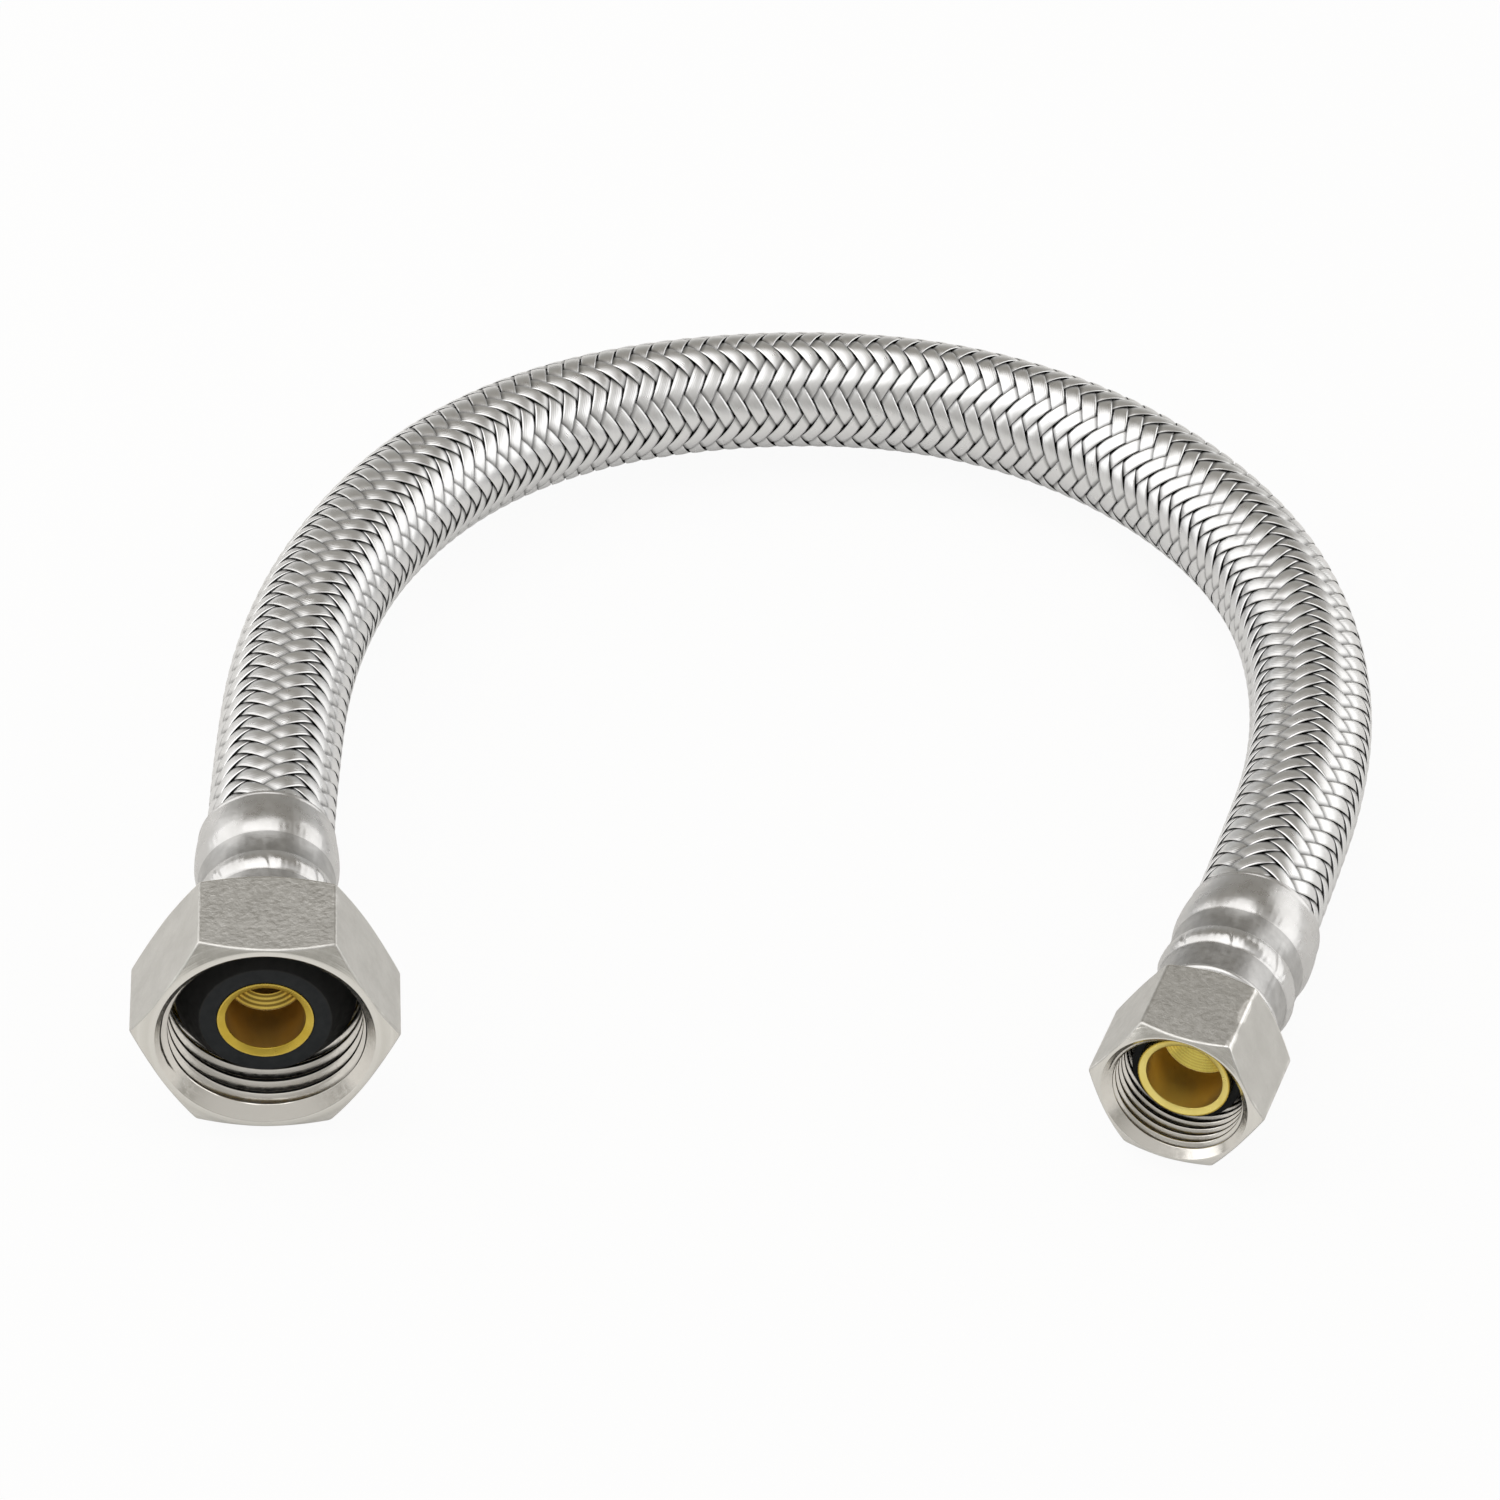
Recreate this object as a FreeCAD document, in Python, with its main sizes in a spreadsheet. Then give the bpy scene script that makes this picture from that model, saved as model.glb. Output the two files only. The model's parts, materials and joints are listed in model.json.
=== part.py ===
import FreeCAD, Part
import math
import os
import Sketcher
from FreeCAD import Placement, Rotation, Vector

# A 12 inch braided supply line, in millimetres.
# The origin is the centre of the large nut's mouth. +Y runs from the mouth into the fitting, +Z is up,
# and the line lies on the plane that the large nut's lower flat rests on.

driving = {
    # hose, from the outside in
    "hose_od": 13.0,
    "braid_wall": 0.5,
    "layer_gap": 0.05,
    "tube_wall": 2.0,
    # large coupling nut, for a 1/2-14 pipe thread: 23 mm across its flats
    "large_thread_radius": 9.525,
    "large_nut_wall": 1.975,
    "large_nut_length": 11.3,
    "large_face_margin": 0.25,
    "large_edge_radius": 0.45,
    "large_mouth_land": 0.45,
    "large_floor": 2.0,
    # small coupling nut, for a 9/16-24 compression thread: 5/8 inch across its flats
    "small_thread_radius": 6.57,
    "small_nut_wall": 1.3675,
    "small_nut_length": 11.2,
    "small_face_margin": 0.2875,
    "small_edge_radius": 0.5,
    "small_mouth_land": 0.1,
    "small_floor": 1.9,
    "corner_angle": 30.0,
    # running clearances of a nut on its insert
    "swivel_gap": 0.1,
    "shoulder_gap": 0.1,
    # inserts
    "nose_radius": 4.7625,
    "nose_edge": 0.25,
    "nose_bore_radius": 3.9,
    "bore_depth": 6.0,
    "drill_point": 118.0,
    "shank_radius": 5.2,
    "groove_depth": 0.6,
    "groove_slack": 0.05,
    "stop_length": 0.9,
    "tail_lead": 2.0,
    "tail_wall": 1.5,
    "barb_pitch": 3.0,
    "barb_depth": 0.5,
    "barb_bite": 0.1,
    "large_nose_recess": 2.8,
    "large_head_gap": 0.625,
    "large_head_thickness": 1.6,
    "large_play": 1.9,
    "small_nose_recess": 3.35,
    "small_head_gap": 0.37,
    "small_head_thickness": 1.3,
    "small_play": 0.9,
    # cone washers
    "seat_gap": 0.03,
    "large_washer_setback": 0.15,
    "large_washer_land": 1.7,
    "large_washer_rim": 1.2,
    "small_washer_setback": 1.05,
    "small_washer_land": 0.8,
    "small_washer_rim": 0.8,
    # crimped ferrules, from the nut's end to the hose
    "ferrule_wall": 0.45,
    "collar_length": 1.3,
    "collar_rise": 0.2,
    "rear_band_length": 3.5,
    "rear_squeeze": 0.2,
    "ridge_length": 2.6,
    "ridge_rise": 0.25,
    "front_band_length": 3.0,
    "front_squeeze": 0.02,
    "bulge_length": 6.2,
    "bulge_rise": 0.37,
    "bulge_crown": 2.2,
    "rim_gap": 0.02,
    # where the small fitting lies, and how far the hose runs straight out of each ferrule
    "small_x": 89.3,
    "small_y": -3.1,
    "small_turn": 22.7,
    "large_lead": 2.7,
    "small_lead": 1.6,
}
barb_count = 4

# The free hose between its straight ends: x, y and how far its underside is lifted off the floor.
route = [
    (3.0, 69.0, 3.4),
    (17.5, 98.5, 1.8),
    (40.0, 114.5, 0.7),
    (71.5, 118.5, 0.1),
    (95.5, 107.5, 0.0),
    (110.5, 85.5, 0.0),
    (112.0, 56.5, 0.5),
]

doc = FreeCAD.newDocument("braided_supply_line")
sheet = doc.addObject("Spreadsheet::Sheet", "Sizes")
for row, (name, number) in enumerate(driving.items(), start=1):
    sheet.set(f"A{row}", name)
    sheet.set(f"B{row}", str(number))
    sheet.setAlias(f"B{row}", name)
doc.recompute()


class Size:
    """A length with the sheet expression that it comes from, so sums keep both."""

    def __init__(self, text, value):
        self.text = text
        self.value = value

    def join(self, sign, other, value):
        return Size(f"({self.text} {sign} {as_size(other).text})", value)

    def __add__(self, other):
        return self.join("+", other, self.value + as_size(other).value)

    def __sub__(self, other):
        return self.join("-", other, self.value - as_size(other).value)

    def __mul__(self, factor):
        return self.join("*", factor, self.value * as_size(factor).value)

    def __truediv__(self, divisor):
        return self.join("/", divisor, self.value / as_size(divisor).value)


def as_size(number):
    return number if isinstance(number, Size) else Size(str(number), number)


def size(name):
    return Size(f"Sizes.{name}", driving[name])


on_axis = as_size(0.0)

# Radii that several pieces share
hose_radius = size("hose_od") / 2
braid_inside = hose_radius - size("braid_wall")
tube_outside = braid_inside - size("layer_gap")
tube_inside = tube_outside - size("tube_wall")
groove_radius = size("shank_radius") - size("groove_depth")


def half_flats(end):
    return size(f"{end}_thread_radius") + size(f"{end}_nut_wall")


def head_radius(end):
    return size(f"{end}_thread_radius") - size(f"{end}_head_gap")


# Stations along a fitting's axis, measured from its mouth
tail_length = size("tail_lead") + size("barb_pitch") * barb_count
ferrule_length = (size("collar_length") + size("rear_band_length") + size("ridge_length")
                  + size("front_band_length") + size("bulge_length"))


def stations(end):
    """Distances from the mouth of the large or the small fitting to its steps."""
    nut_back = size(f"{end}_nut_length")
    shoulder = nut_back - size(f"{end}_floor")
    head_back = shoulder - size("shoulder_gap")
    ferrule_start = nut_back + size(f"{end}_play")
    groove_end = ferrule_start + size("ferrule_wall") + size("groove_slack")
    hose_start = groove_end + size("stop_length")
    return {
        "nut_back": nut_back,
        "shoulder": shoulder,
        "head_back": head_back,
        "head_front": head_back - size(f"{end}_head_thickness"),
        "nose": size(f"{end}_nose_recess"),
        "ferrule_start": ferrule_start,
        "groove_start": ferrule_start - size("groove_slack"),
        "groove_end": groove_end,
        "hose_start": hose_start,
        "tail_end": hose_start + tail_length,
        "ferrule_rim": ferrule_start + ferrule_length,
    }


# Sketches: every corner is placed by the sheet

def origin_plane(body, role):
    return next(feature for feature in body.Origin.OriginFeatures if feature.Role == role)


def new_sketch(body, name, plane):
    sketch = body.newObject("Sketcher::SketchObject", name)
    sketch.AttachmentSupport = [(origin_plane(body, plane), "")]
    sketch.MapMode = "FlatFace"
    return sketch


def place_point(sketch, geometry, end, across, along):
    """Fix one point at its two distances from the sketch's origin."""
    for kind, axis, distance in (("DistanceX", -2, across), ("DistanceY", -1, along)):
        if abs(distance.value) < 1e-9:
            sketch.addConstraint(Sketcher.Constraint("PointOnObject", geometry, end, axis))
            continue
        index = sketch.addConstraint(
            Sketcher.Constraint(kind, -1, 1, geometry, end, distance.value))
        sketch.setExpression(f"Constraints[{index}]", distance.text)


def add_arc(sketch, start, through, finish):
    """An arc through three points. Sketch arcs run counterclockwise, so its ends may swap."""
    centre = Part.Arc(start, through, finish).toShape().Curve.Center
    circle = Part.Circle(centre, Vector(0, 0, 1), centre.distanceToPoint(start))
    forward = (through - start).cross(finish - through).z > 0
    first, last = (start, finish) if forward else (finish, start)
    arc = Part.ArcOfCircle(circle, circle.parameter(first), circle.parameter(last))
    return sketch.addGeometry(arc, False), forward


def draw_outline(sketch, corners):
    """A closed outline. A corner is (across, along), and one with a third entry, the point that
    an arc passes through, is reached by that arc instead of a straight line."""
    points = [Vector(corner[0].value, corner[1].value, 0) for corner in corners]
    pieces = []
    for index, corner in enumerate(corners):
        start, finish = points[index - 1], points[index]
        if len(corner) == 2:
            geometry = sketch.addGeometry(Part.LineSegment(start, finish), False)
            pieces.append((geometry, 1, 2))
        else:
            crown = corner[2]
            through = Vector(crown[0].value, crown[1].value, 0)
            geometry, forward = add_arc(sketch, start, through, finish)
            pieces.append((geometry, 1, 2) if forward else (geometry, 2, 1))
            mark = sketch.addGeometry(Part.Point(through), True)
            place_point(sketch, mark, 1, crown[0], crown[1])
            sketch.addConstraint(Sketcher.Constraint("PointOnObject", mark, 1, geometry))
        place_point(sketch, geometry, pieces[-1][2], corner[0], corner[1])
    for (before, _, before_end), (after, after_start, _) in zip([pieces[-1]] + pieces, pieces):
        sketch.addConstraint(
            Sketcher.Constraint("Coincident", before, before_end, after, after_start))


def revolve(body, kind, name, corners):
    """Turn an outline about the fitting's axis, to add a solid or to cut a groove."""
    sketch = new_sketch(body, f"{name}_profile", "XY_Plane")
    draw_outline(sketch, corners)
    feature = body.newObject(kind, name)
    feature.Profile = sketch
    feature.ReferenceAxis = (sketch, ["V_Axis"])
    feature.Angle = 360.0
    doc.recompute()
    return feature


def new_body(label, placement):
    body = doc.addObject("PartDesign::Body", label)
    body.Label = label
    body.Placement = placement
    return body


# Coupling nuts

beyond_corners = 1.2


def hexagon_corners(flat, rounding):
    """A hexagon with two flats across the vertical and its six corners rounded."""
    centre = (flat - rounding) * 2 / math.sqrt(3)
    corners = []
    for corner in range(6):
        middle = 60.0 * corner
        before, crown, after = (
            [centre * math.cos(math.radians(middle)) + rounding * math.cos(math.radians(angle)),
             centre * math.sin(math.radians(middle)) + rounding * math.sin(math.radians(angle))]
            for angle in (middle - 30, middle, middle + 30))
        corners.append((before[0], before[1]))
        corners.append((after[0], after[1], crown))
    return corners


def coupling_nut(end, placement):
    at = stations(end)
    body = new_body(f"{end}_nut", placement)
    flat = half_flats(end)
    corner = flat * 2 / math.sqrt(3)
    outline = new_sketch(body, f"{end}_hexagon", "XZ_Plane")
    draw_outline(outline, hexagon_corners(flat, size(f"{end}_edge_radius")))
    pad = body.newObject("PartDesign::Pad", f"{end}_blank")
    pad.Profile = outline
    pad.Reversed = True
    pad.setExpression("Length", at["nut_back"].text)
    doc.recompute()
    thread = size(f"{end}_thread_radius")
    face = flat - size(f"{end}_face_margin")
    mouth = face - size(f"{end}_mouth_land")
    passage = size("shank_radius") + size("swivel_gap")
    revolve(body, "PartDesign::Groove", f"{end}_bore", [
        (on_axis, on_axis),
        (mouth, on_axis),
        (thread, mouth - thread),
        (thread, at["shoulder"]),
        (passage, at["shoulder"]),
        (passage, at["nut_back"]),
        (on_axis, at["nut_back"]),
    ])
    clear = corner * beyond_corners
    rise = (clear - face) * math.tan(math.radians(driving["corner_angle"]))
    revolve(body, "PartDesign::Groove", f"{end}_front_corners", [
        (face, on_axis),
        (clear, on_axis),
        (clear, rise),
    ])
    revolve(body, "PartDesign::Groove", f"{end}_back_corners", [
        (face, at["nut_back"]),
        (clear, at["nut_back"] - rise),
        (clear, at["nut_back"]),
    ])
    return body


# Inserts: nose, head, grooved shank and barbed tail in one turning

def insert(end, placement):
    at = stations(end)
    nose = size("nose_radius")
    edge = size("nose_edge")
    head = head_radius(end)
    shank = size("shank_radius")
    barb_tip = tube_inside + size("barb_bite")
    root = barb_tip - size("barb_depth")
    bore = size("nose_bore_radius")
    tail_bore = root - size("tail_wall")
    corners = [
        (bore, at["nose"]),
        (nose - edge, at["nose"]),
        (nose, at["nose"] + edge),
        (nose, at["head_front"]),
        (head, at["head_front"]),
        (head, at["head_back"]),
        (shank, at["head_back"]),
        (shank, at["groove_start"]),
        (groove_radius, at["groove_start"]),
        (groove_radius, at["groove_end"]),
        (shank, at["groove_end"]),
        (shank, at["hose_start"]),
        (root, at["hose_start"]),
    ]
    for barb in range(barb_count):
        step = at["hose_start"] + size("tail_lead") + size("barb_pitch") * barb
        corners.append((root, step))
        corners.append((barb_tip, step))
    bore_end = at["nose"] + size("bore_depth")
    point_length = (bore - tail_bore) / math.tan(math.radians(driving["drill_point"] / 2))
    corners += [
        (root, at["tail_end"]),
        (tail_bore, at["tail_end"]),
        (tail_bore, bore_end + point_length),
        (bore, bore_end),
    ]
    body = new_body(f"{end}_insert", placement)
    revolve(body, "PartDesign::Revolution", f"{end}_turning", corners)
    return body


# Cone washers, stretched over the nose in front of the head

def cone_washer(end, placement):
    at = stations(end)
    hole = size("nose_radius") + size("seat_gap")
    front = at["nose"] + size(f"{end}_washer_setback")
    base = at["head_front"] - size("seat_gap")
    body = new_body(f"{end}_washer", placement)
    revolve(body, "PartDesign::Revolution", f"{end}_washer_turning", [
        (hole, front),
        (hole + size(f"{end}_washer_land"), front),
        (head_radius(end), base - size(f"{end}_washer_rim")),
        (head_radius(end), base),
        (hole, base),
    ])
    return body


# Ferrules: a thin sleeve crimped into a collar, two bands, a ridge and a round bulge

def ferrule(end, placement):
    start = stations(end)["ferrule_start"]
    wall = size("ferrule_wall")
    lip = groove_radius + size("groove_slack")
    rear_inside = hose_radius - size("rear_squeeze")
    front_inside = hose_radius - size("front_squeeze")
    rim_inside = hose_radius + size("rim_gap")
    rear, front = rear_inside + wall, front_inside + wall
    collar_end = start + size("collar_length")
    rear_end = collar_end + size("rear_band_length")
    ridge_end = rear_end + size("ridge_length")
    front_end = ridge_end + size("front_band_length")
    rim = front_end + size("bulge_length")
    collar_middle = start + size("collar_length") / 2
    ridge_middle = rear_end + size("ridge_length") / 2
    ridge, bulge = front + size("ridge_rise"), front + size("bulge_rise")
    crown = front_end + size("bulge_crown")
    rising, falling = (front_end + crown) / 2, (crown + rim) / 2
    # a shallow arc that is level at its crown has three quarters of its rise half way along
    rising_radius = bulge - (bulge - front) / 4
    falling_radius = bulge - (bulge - rim_inside - wall) / 4
    corners = [
        (lip, start),
        (rear_inside, start),
        (rear, collar_end, (rear + size("collar_rise"), collar_middle)),
        (rear, rear_end),
        (front, ridge_end, (ridge, ridge_middle)),
        (front, front_end),
        (bulge, crown, (rising_radius, rising)),
        (rim_inside + wall, rim, (falling_radius, falling)),
        (rim_inside, rim),
        (bulge - wall, crown, (falling_radius - wall, falling)),
        (front_inside, front_end, (rising_radius - wall, rising)),
        (front_inside, ridge_end),
        (rear_inside, rear_end, (ridge - wall, ridge_middle)),
        (rear_inside, start + wall),
        (lip, start + wall),
    ]
    body = new_body(f"{end}_ferrule", placement)
    revolve(body, "PartDesign::Revolution", f"{end}_sleeve", corners)
    return body


# The hose: two concentric layers along straight runs joined by tangent arcs

floor = half_flats("large").value * -1
small_turn = math.radians(driving["small_turn"])
small_axis = Vector(math.sin(small_turn), math.cos(small_turn), 0)
small_mouth = Vector(driving["small_x"], driving["small_y"], floor + half_flats("small").value)
large_place = Placement()
small_place = Placement(small_mouth, Rotation(Vector(0, 0, 1), -driving["small_turn"]))


def route_points():
    """The hose's corner points, from its end in the large ferrule to its end in the small one."""
    large, small = stations("large"), stations("small")
    large_axis = Vector(0, 1, 0)
    middle = [Vector(x, y, floor + hose_radius.value + lift) for x, y, lift in route]
    return (
        [large_axis * large["hose_start"].value,
         large_axis * (large["ferrule_rim"].value + driving["large_lead"])]
        + middle
        + [small_mouth + small_axis * (small["ferrule_rim"].value + driving["small_lead"]),
           small_mouth + small_axis * small["hose_start"].value]
    )


run_share = 0.45


def bend(before, corner, after):
    """The largest arc that two runs allow: its ends, its middle and its radius."""
    come = (corner - before).normalize()
    go = (after - corner).normalize()
    half_turn = come.getAngle(go) / 2
    reach = run_share * min((corner - before).Length, (after - corner).Length)
    radius = reach / math.tan(half_turn)
    inward = (go - come).normalize()
    middle = corner + inward * (radius / math.cos(half_turn) - radius)
    return corner - come * reach, middle, corner + go * reach, radius


def hose_path():
    """One wire of runs and arcs, with its length and the radii of its bends."""
    points = route_points()
    edges, radii = [], []
    last = points[0]
    for before, corner, after in zip(points, points[1:], points[2:]):
        start, middle, finish, radius = bend(before, corner, after)
        edges.append(Part.LineSegment(last, start).toShape())
        edges.append(Part.Arc(start, middle, finish).toShape())
        radii.append(radius)
        last = finish
    edges.append(Part.LineSegment(last, points[-1]).toShape())
    return Part.Wire(edges), radii


spine = doc.addObject("Part::Feature", "hose_centreline")
spine.Shape, bend_radii = hose_path()
spine_edges = [f"Edge{number + 1}" for number in range(len(spine.Shape.Edges))]


def hose_sweep(name, radius):
    """A round bar along the hose's centreline."""
    circle = doc.addObject("Part::Circle", f"{name}_section")
    circle.Placement = Placement(Vector(), Rotation(Vector(1, 0, 0), -90))
    circle.setExpression("Radius", radius.text)
    circle.setExpression("Placement.Base.y", stations("large")["hose_start"].text)
    sweep = doc.addObject("Part::Sweep", name)
    sweep.Sections = [circle]
    sweep.Spine = (spine, spine_edges)
    sweep.Solid = True
    sweep.Frenet = False
    return sweep


def hose_layer(label, outer_radius, inner_radius):
    outer = hose_sweep(f"{label}_outside", outer_radius)
    inner = hose_sweep(f"{label}_inside", inner_radius)
    layer = doc.addObject("Part::Cut", label)
    layer.Label = label
    layer.Base = outer
    layer.Tool = inner
    doc.recompute()
    return layer


nodes = []
for end, placement in (("large", large_place), ("small", small_place)):
    nodes.append(coupling_nut(end, placement))
    nodes.append(insert(end, placement))
    nodes.append(cone_washer(end, placement))
    nodes.append(ferrule(end, placement))
nodes.append(hose_layer("steel_braid", hose_radius, braid_inside))
nodes.append(hose_layer("inner_tube", tube_outside, tube_inside))
doc.recompute()

# Checks before anything is written
volume_tolerance = 0.01
for item in doc.Objects:
    if "Invalid" in item.State or "Error" in item.State:
        raise RuntimeError(f"{item.Name} did not build: {item.State}")
for node in nodes:
    if node.Shape.isNull() or not node.Shape.isValid() or len(node.Shape.Solids) != 1:
        raise RuntimeError(f"{node.Label} is not one valid solid")

path_length = spine.Shape.Length
print("hose length on its centreline:", round(path_length, 2), "mm")
print("bend radii:", [round(radius, 1) for radius in bend_radii])
for label, outer, inner in (("steel_braid", hose_radius, braid_inside),
                            ("inner_tube", tube_outside, tube_inside)):
    expected = math.pi * (outer.value ** 2 - inner.value ** 2) * path_length
    volume = next(node.Shape.Volume for node in nodes if node.Label == label)
    print(label, "volume", round(volume, 1), "mm3, section times length", round(expected, 1))
    if abs(volume - expected) > volume_tolerance * expected:
        raise RuntimeError(f"{label} does not follow its centreline")

os.makedirs("parts", exist_ok=True)
for node in nodes:
    node.Shape.exportStep(f"parts/{node.Label}.step")
    print(node.Label, round(node.Shape.Volume, 1), "mm3")
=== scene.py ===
import json
import math

import bmesh
import bpy
import numpy as np
from mathutils import Matrix, Vector


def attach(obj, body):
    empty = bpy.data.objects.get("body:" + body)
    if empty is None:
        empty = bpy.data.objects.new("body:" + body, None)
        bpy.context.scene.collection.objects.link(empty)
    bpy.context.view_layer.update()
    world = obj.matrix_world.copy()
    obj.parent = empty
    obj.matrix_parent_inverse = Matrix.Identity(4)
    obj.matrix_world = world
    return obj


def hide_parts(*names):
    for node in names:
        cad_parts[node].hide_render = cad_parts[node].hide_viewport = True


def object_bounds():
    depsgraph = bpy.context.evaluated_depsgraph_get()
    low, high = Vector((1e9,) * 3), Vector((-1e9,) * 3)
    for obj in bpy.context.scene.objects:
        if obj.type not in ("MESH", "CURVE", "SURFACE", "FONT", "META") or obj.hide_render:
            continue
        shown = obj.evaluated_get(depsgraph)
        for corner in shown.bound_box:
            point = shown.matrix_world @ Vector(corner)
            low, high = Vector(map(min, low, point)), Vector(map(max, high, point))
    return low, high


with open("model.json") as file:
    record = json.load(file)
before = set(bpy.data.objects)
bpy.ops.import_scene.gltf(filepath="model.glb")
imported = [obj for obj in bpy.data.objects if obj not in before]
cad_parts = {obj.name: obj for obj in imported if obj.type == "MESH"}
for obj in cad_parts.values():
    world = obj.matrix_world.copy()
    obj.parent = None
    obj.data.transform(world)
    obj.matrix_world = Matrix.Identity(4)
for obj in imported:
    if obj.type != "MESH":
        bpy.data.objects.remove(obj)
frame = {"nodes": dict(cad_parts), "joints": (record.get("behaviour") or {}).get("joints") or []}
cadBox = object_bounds()
scene = bpy.context.scene
mm = 0.001
print("frame loaded:", len(frame["nodes"]), "nodes")


# the camera looks down over the two mouths and leans a little

camera = {
    "spot": (-0.0034, -0.4506, 0.4026),
    "aim": (0.05136, 0.0603, -0.0115),
    "lean": 4.81,  # degrees
    "lens": 148.4,
    "sensor": 36.0,
}


def placeCamera():
    data = bpy.data.cameras.new("studioCamera")
    data.lens = camera["lens"]
    data.sensor_width = camera["sensor"]
    seat = bpy.data.objects.new("studioCamera", data)
    scene.collection.objects.link(seat)
    spot = Vector(camera["spot"])
    turn = (Vector(camera["aim"]) - spot).to_track_quat("-Z", "Y").to_matrix().to_4x4()
    lean = Matrix.Rotation(math.radians(camera["lean"]), 4, "Z")
    seat.matrix_world = Matrix.Translation(spot) @ turn @ lean
    scene.camera = seat


placeCamera()
print("camera placed")


# shared mesh helpers

def meshOfQuads(name, points, quads):
    mesh = bpy.data.meshes.new(name)
    mesh.vertices.add(len(points))
    mesh.vertices.foreach_set("co", points.astype(np.float32).ravel())
    mesh.loops.add(quads.size)
    mesh.loops.foreach_set("vertex_index", quads.astype(np.int32).ravel())
    mesh.polygons.add(len(quads))
    mesh.polygons.foreach_set("loop_start", np.arange(0, quads.size, 4, dtype=np.int32))
    mesh.update(calc_edges=True)
    mesh.polygons.foreach_set("use_smooth", np.ones(len(quads), bool))
    return mesh


def markPoints(mesh, name, values):
    mark = mesh.attributes.new(name, "FLOAT", "POINT")
    mark.data.foreach_set("value", values.astype(np.float32))


def addPiece(name, mesh, finishes, body, nodes, place=None):
    piece = bpy.data.objects.new(name, mesh)
    scene.collection.objects.link(piece)
    for finish in finishes:
        mesh.materials.append(finish)
    if place is not None:
        piece.matrix_world = place
    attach(piece, body)
    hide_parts(*nodes)
    return piece


def gridQuads(rows, columns, closedRows):
    # columns always close, as every turned piece goes right round
    row = np.arange(rows if closedRows else rows - 1)
    column = np.arange(columns)
    down, across = np.meshgrid(row, column, indexing="ij")
    nextDown = (down + 1) % rows
    nextAcross = (across + 1) % columns
    corners = [down * columns + across, down * columns + nextAcross,
               nextDown * columns + nextAcross, nextDown * columns + across]
    return np.stack(corners, axis=-1).reshape(-1, 4)


rounding = {
    "steps": 4,
    "longest": 0.45,  # the share of a side that a corner's rounding may take
    "shortest": 1e-9,  # so that a side with no length divides nothing by zero
}


def roundedRows(corners, columns):
    # corner: radius, distance from the mouth, how far its rounding reaches, finish from here on
    spots = []
    for corner in corners:
        radius = np.broadcast_to(corner[0], columns)
        along = np.broadcast_to(corner[1], columns)
        spots.append(np.stack([radius, along], axis=-1).astype(float))
    rows, zones = [], []
    for index, corner in enumerate(corners):
        here = spots[index]
        if corner[2] <= 0:
            rows.append(here)
            zones.append(corner[3])
            continue
        ends = []
        for other in (spots[index - 1], spots[(index + 1) % len(spots)]):
            way = other - here
            length = np.linalg.norm(way, axis=-1, keepdims=True)
            reach = np.minimum(corner[2], rounding["longest"] * length)
            ends.append(here + way / np.maximum(length, rounding["shortest"]) * reach)
        for step in range(rounding["steps"] + 1):
            share = step / rounding["steps"]
            rows.append((1 - share) ** 2 * ends[0] + 2 * share * (1 - share) * here
                        + share ** 2 * ends[1])
            zones.append(corner[3])
    return np.array(rows), zones


def turnedPoints(rows, angles):
    # the turning axis is y, and angles start at the top
    radius, along = rows[..., 0], rows[..., 1]
    return np.stack([radius * np.sin(angles), along, radius * np.cos(angles)],
                    axis=-1).reshape(-1, 3) * mm


def evenShade(piece):
    shade = piece.modifiers.new("evenShade", "WEIGHTED_NORMAL")
    shade.weight = 50


def turnedPiece(name, corners, columns, finishes, node, place, press=None):
    # a closed outline turned right round; press may dent its rows
    angles = np.linspace(0, 2 * math.pi, columns, endpoint=False)
    rows, zones = roundedRows(corners, columns)
    if press is not None:
        press(rows, angles)
    mesh = meshOfQuads(name, turnedPoints(rows, angles), gridQuads(len(rows), columns, True))
    mesh.polygons.foreach_set("material_index", np.repeat(zones, columns).astype(np.int32))
    evenShade(addPiece(name, mesh, finishes, "line", [node], place))


# shared shader nodes

def mathNode(tree, operation, first, second=None):
    node = tree.nodes.new("ShaderNodeMath")
    node.operation = operation
    for place, value in enumerate((first, second)):
        if isinstance(value, (int, float)):
            node.inputs[place].default_value = value
        elif value is not None:
            tree.links.new(value, node.inputs[place])
    return node.outputs[0]


def rangeNode(tree, source, start, finish, low=0.0, high=1.0, kind="LINEAR"):
    # goes from low to high while source goes from start to finish
    node = tree.nodes.new("ShaderNodeMapRange")
    node.interpolation_type = kind
    node.inputs["From Min"].default_value = start
    node.inputs["From Max"].default_value = finish
    node.inputs["To Min"].default_value = low
    node.inputs["To Max"].default_value = high
    tree.links.new(source, node.inputs["Value"])
    return node.outputs["Result"]


# finishes

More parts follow.
